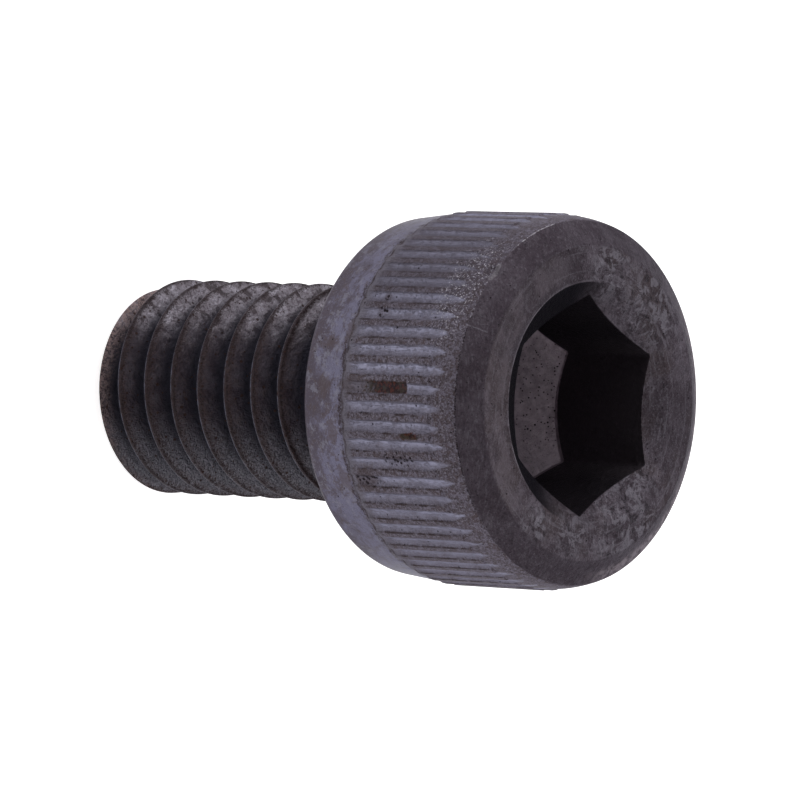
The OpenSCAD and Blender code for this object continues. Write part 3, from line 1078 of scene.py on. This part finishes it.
def head_surface(f, zone):
    """Roughness and relief: smooth in the grooves and on the taper, rough elsewhere."""
    smooth = f.larger(zone.bar, zone.taper)
    roughness = f.blend(smooth, f.ramp(f.grain, 0.3, 0.7, 0.42, 0.62), 0.38)
    roughness = f.blend(zone.rust, roughness, 0.8)
    grain_share = f.blend(smooth, f.blend(zone.rough_side, 0.6, 1.0), 0.10)
    blotch_share = f.blend(f.larger(smooth, zone.rough_side), 0.8, 0.06)
    holes = f.larger(zone.pits, f.times(zone.pores, zone.socket_floor))
    normal = f.bump(f.times(f.grain, grain_share), 0.06, 0.9)
    normal = f.bump(f.times(f.blotch, blotch_share), 0.10, 0.5, normal)
    normal = f.bump(f.times(zone.crumple, zone.crust), 0.14, 0.8, normal)
    normal = f.bump(f.blend(holes, 1.0, 0.0), 0.03, 1.0, normal)
    return roughness, normal


def head_finish():
    f = Finish("black_oxide_head", mottle=(1.7, 7.0, 0.70),
               blotch=(4.2, 5.0, 0.68, 1.3), grain=(10.0, 3.0, 0.8))
    zone = head_zones(f)
    for lay in (lay_top_face, lay_countersink, lay_ridges, lay_bars, lay_taper, lay_neck,
                lay_seam, lay_socket, lay_rust, lay_top_edge):
        lay(f, zone)
    return f.finish(*head_surface(f, zone))


# ---- the finish of the thread ----

def thread_zones(f):
    """The place along one pitch, from -0.5 to 0.5, and the worn and the grey side of the thread."""
    zone = SimpleNamespace()
    turn = f.maths("SUBTRACT", f.times(f.z, 1 / PITCH), f.times(f.angle, 1 / (2 * math.pi)))
    turn = f.plus(turn, COUNT_SHIFT + THREAD_TURN / 360)
    zone.phase = f.plus(f.less_half(f.maths("FRACT", turn)), f.less_half(f.blotch, 0.06))
    zone.worn = f.times(f.ramp(f.plus(f.x, f.less_half(f.mottle, 2.6)), -0.9, -2.3),
                        f.ramp(f.z, -0.9, -1.5, 0.20, 1.0))
    zone.worn_crests = f.ramp(f.x, -0.4, -1.4)
    zone.grey = f.times(f.ramp(f.x, 0.6, 2.5), f.ramp(f.z, -1.1, -1.5))
    return zone


def lay_thread_sides(f, zone):
    """Dark oxide, worn and mottled on one side and greyer on the other, with painted shade at the
    roots.
    """
    f.colour = f.layered(THREAD_OXIDE, [
        (f.mottle, 0.38, 0.62, 1.0, THREAD_PALE),
        (f.blotch, 0.50, 0.64, 0.6, BROWN_FILM),
        (f.grain, 0.46, 0.32, 0.7, DARK_OXIDE)])
    patch = f.noise(2.3, 4.0, 0.6, 0.3)
    worn = f.layered(WORN_SHADE, [(f.grain, 0.38, 0.54, 1.0, WORN_GREY)])
    bright = f.times(f.ramp(patch, 0.52, 0.62), f.ramp(f.fine, 0.42, 0.56, 0.15, 1.0))
    worn = f.mix(bright, worn, WORN_BRIGHT)
    worn = f.layered(worn, [(patch, 0.46, 0.40, 0.75, WORN_BROWN)])
    f.lay(worn, zone.worn, 0.9)
    f.lay(GREY_SIDE, zone.grey, f.ramp(f.fine, 0.38, 0.60, 0.25, 0.8))
    # painted shade: darker towards the roots
    f.lay(ROOT_SHADE, f.ramp(f.radius, 2.74, 2.44), f.blend(zone.grey, 0.88, 0.6))


def lay_crests(f, zone):
    """The marks that follow each crest: brown flank, dots of dirt, dark flat, blue line, cracks,
    and painted shadow behind it on the -X side.
    """
    f.lay(CREST_BROWN, f.band(zone.phase, *BROWN_FLANK),
          f.ramp(f.grain, 0.40, 0.56, 0.1, 0.65), f.blend(zone.worn, 1.0, 0.3))
    f.lay(GRIME_AND_SHADE, f.band(zone.phase, *DOTTED_FLANK), f.ramp(f.fine, 0.50, 0.42), 0.75)
    f.lay(CREST_SHADE, f.band(zone.phase, *CREST_FLAT),
          f.ramp(f.noise(3.0, 4.0, 0.7), 0.40, 0.58, 0.35, 0.8))
    f.lay(CREST_BLUE, f.band(zone.phase, *CREST_LINE),
          f.ramp(f.noise(5.0, 4.0, 0.75), 0.40, 0.58, 0.10, 0.95),
          f.ramp(f.x, -1.7, -0.5, 0.05, 1.0))
    # painted shadow in the root behind each crest, on the -X side
    behind = f.times(f.band(zone.phase, *BEHIND_CREST), zone.worn_crests, 0.7)
    crack = f.times(f.band(zone.phase, *CREST_CRACK), zone.worn_crests,
                    f.ramp(f.fine, 0.60, 0.48, 0.35, 1.0))
    f.lay(CRACK_AND_SHADOW_BLACK, f.larger(behind, crack))


def lay_thread_dirt(f, zone):
    """The pink rim of the tip, the fold of dirt behind the last crest, and small rust spots."""
    speckled = f.plus(f.grain, f.times(f.fine, 0.7))
    f.lay(TIP_PINK, f.ramp(f.z, -9.2, -9.6), f.ramp(speckled, 0.76, 0.94, 0.15, 0.95))
    f.lay(FOLD_BLACK, f.band(zone.phase, *DIRT_FOLD), f.band(f.z, *FOLD_HEIGHTS),
          f.ramp(f.blotch, 0.40, 0.50, 0.45, 1.0),
          f.ramp(f.maths("ABSOLUTE", f.x), 0.5, 1.3, 0.3, 1.0), 0.90)
    spots = f.larger(f.ramp(f.cells(2.6), 0.14, 0.08), f.ramp(f.cells(4.4), 0.15, 0.09))
    f.lay(RUST_DARK, spots, 0.9)


def shank_finish():
    f = Finish("black_oxide_thread", mottle=(2.2, 6.0, 0.70),
               blotch=(4.6, 5.0, 0.68, 1.0), grain=(11.0, 3.0, 0.8))
    zone = thread_zones(f)
    for lay in (lay_thread_sides, lay_crests, lay_thread_dirt):
        lay(f, zone)
    normal = f.bump(f.blotch, 0.16, 0.6, f.bump(f.grain, 0.06, 0.9))
    return f.finish(f.ramp(f.grain, 0.3, 0.7, 0.40, 0.62), normal)


def dress(piece, material):
    piece.data.materials.clear()
    piece.data.materials.append(material)
    make_active(piece)
    bpy.ops.object.shade_smooth_by_angle(angle=math.radians(SMOOTH_ANGLE))
    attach(piece, "root")
    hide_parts("screw")


# ---- floor, light and camera ----

WHITE = rgb(1.0, 1.0, 1.0)
FLOOR_COLOUR = rgb(0.8, 0.8, 0.8)
FLOOR_SIZE = 3.0  # metres
# how strongly the floor and the surroundings glow for each kind of ray
FLOOR_GLOW = {"Is Camera Ray": 0.82, "Is Glossy Ray": 0.80, "Is Transmission Ray": 0.55}
WORLD_GLOW = 0.12
WORLD_EXTRA_GLOW = {"Is Camera Ray": 0.88}
# name, place and size in metres, power in watts
LAMPS = [
    ("upper_lamp", (-0.50, 0.0, 0.22), 0.6, 2.5),
    ("lower_lamp", (0.50, -0.05, 0.20), 0.5, 1.35),
    ("back_lamp", (0.0, 0.45, 0.40), 0.5, 1.3),
    ("socket_lamp", (0.0, -0.28, 0.45), 0.1, 0.18)]
CAMERA_PLACE = (3.555, -169.300, 153.891)
CAMERA_TURN = (-2.6071, -47.5304, 94.6937)
CAMERA_LENS = 380.88
CAMERA_SENSOR = 36.0


def glow_by_ray(tree, base, shares, target):
    """Sets a strength: a base, and a share more for each kind of ray that is named."""
    rays = tree.nodes.new("ShaderNodeLightPath")
    strength = None
    for ray, share in shares.items():
        part = tree.nodes.new("ShaderNodeMath")
        part.operation = "MULTIPLY_ADD"
        tree.links.new(rays.outputs[ray], part.inputs[0])
        part.inputs[1].default_value = share
        part.inputs[2].default_value = base
        if strength:
            tree.links.new(strength, part.inputs[2])
        strength = part.outputs[0]
    tree.links.new(strength, target)


def lay_floor():
    deselect_everything()
    bpy.ops.mesh.primitive_plane_add(size=FLOOR_SIZE, location=(0, 0, -SHANK_LENGTH * MM))
    floor = bpy.context.object
    floor.name = "floor"
    material = bpy.data.materials.new("pale_floor")
    material.use_nodes = True
    tree = material.node_tree
    tree.nodes.clear()
    output, both, matt, glow = [tree.nodes.new("ShaderNode" + kind) for kind in (
        "OutputMaterial", "AddShader", "BsdfDiffuse", "Emission")]
    matt.inputs["Color"].default_value = FLOOR_COLOUR
    glow.inputs["Color"].default_value = WHITE
    glow_by_ray(tree, 0.0, FLOOR_GLOW, glow.inputs["Strength"])
    for node, target in ((matt, both.inputs[0]), (glow, both.inputs[1]), (both, output.inputs[0])):
        tree.links.new(node.outputs[0], target)
    floor.data.materials.append(material)


def soft_lamp(name, place, size, power):
    """A square soft lamp that faces the screw."""
    data = bpy.data.lights.new(name, "AREA")
    data.shape = "SQUARE"
    data.size = size
    data.energy = power
    lamp = bpy.data.objects.new(name, data)
    bpy.context.scene.collection.objects.link(lamp)
    lamp.location = place
    lamp.rotation_mode = "QUATERNION"
    lamp.rotation_quaternion = (-Vector(place)).to_track_quat("-Z", "Y")


def light_studio():
    world = bpy.data.worlds.new("studio")
    world.use_nodes = True
    background = world.node_tree.nodes["Background"]
    background.inputs["Color"].default_value = WHITE
    glow_by_ray(world.node_tree, WORLD_GLOW, WORLD_EXTRA_GLOW, background.inputs["Strength"])
    bpy.context.scene.world = world
    for lamp in LAMPS:
        soft_lamp(*lamp)


def set_camera():
    data = bpy.data.cameras.new("camera")
    data.sensor_width = CAMERA_SENSOR
    data.lens = CAMERA_LENS
    data.clip_start = 0.01
    data.clip_end = 10.0
    camera = bpy.data.objects.new("camera", data)
    bpy.context.scene.collection.objects.link(camera)
    camera.location = Vector(CAMERA_PLACE) * MM
    camera.rotation_euler = [math.radians(angle) for angle in CAMERA_TURN]
    bpy.context.scene.camera = camera


# ---- the scene ----

bpy.context.scene.view_settings.view_transform = "Standard"
set_camera()
lay_floor()
light_studio()
dress(model_head(), head_finish())
dress(model_shank(), shank_finish())
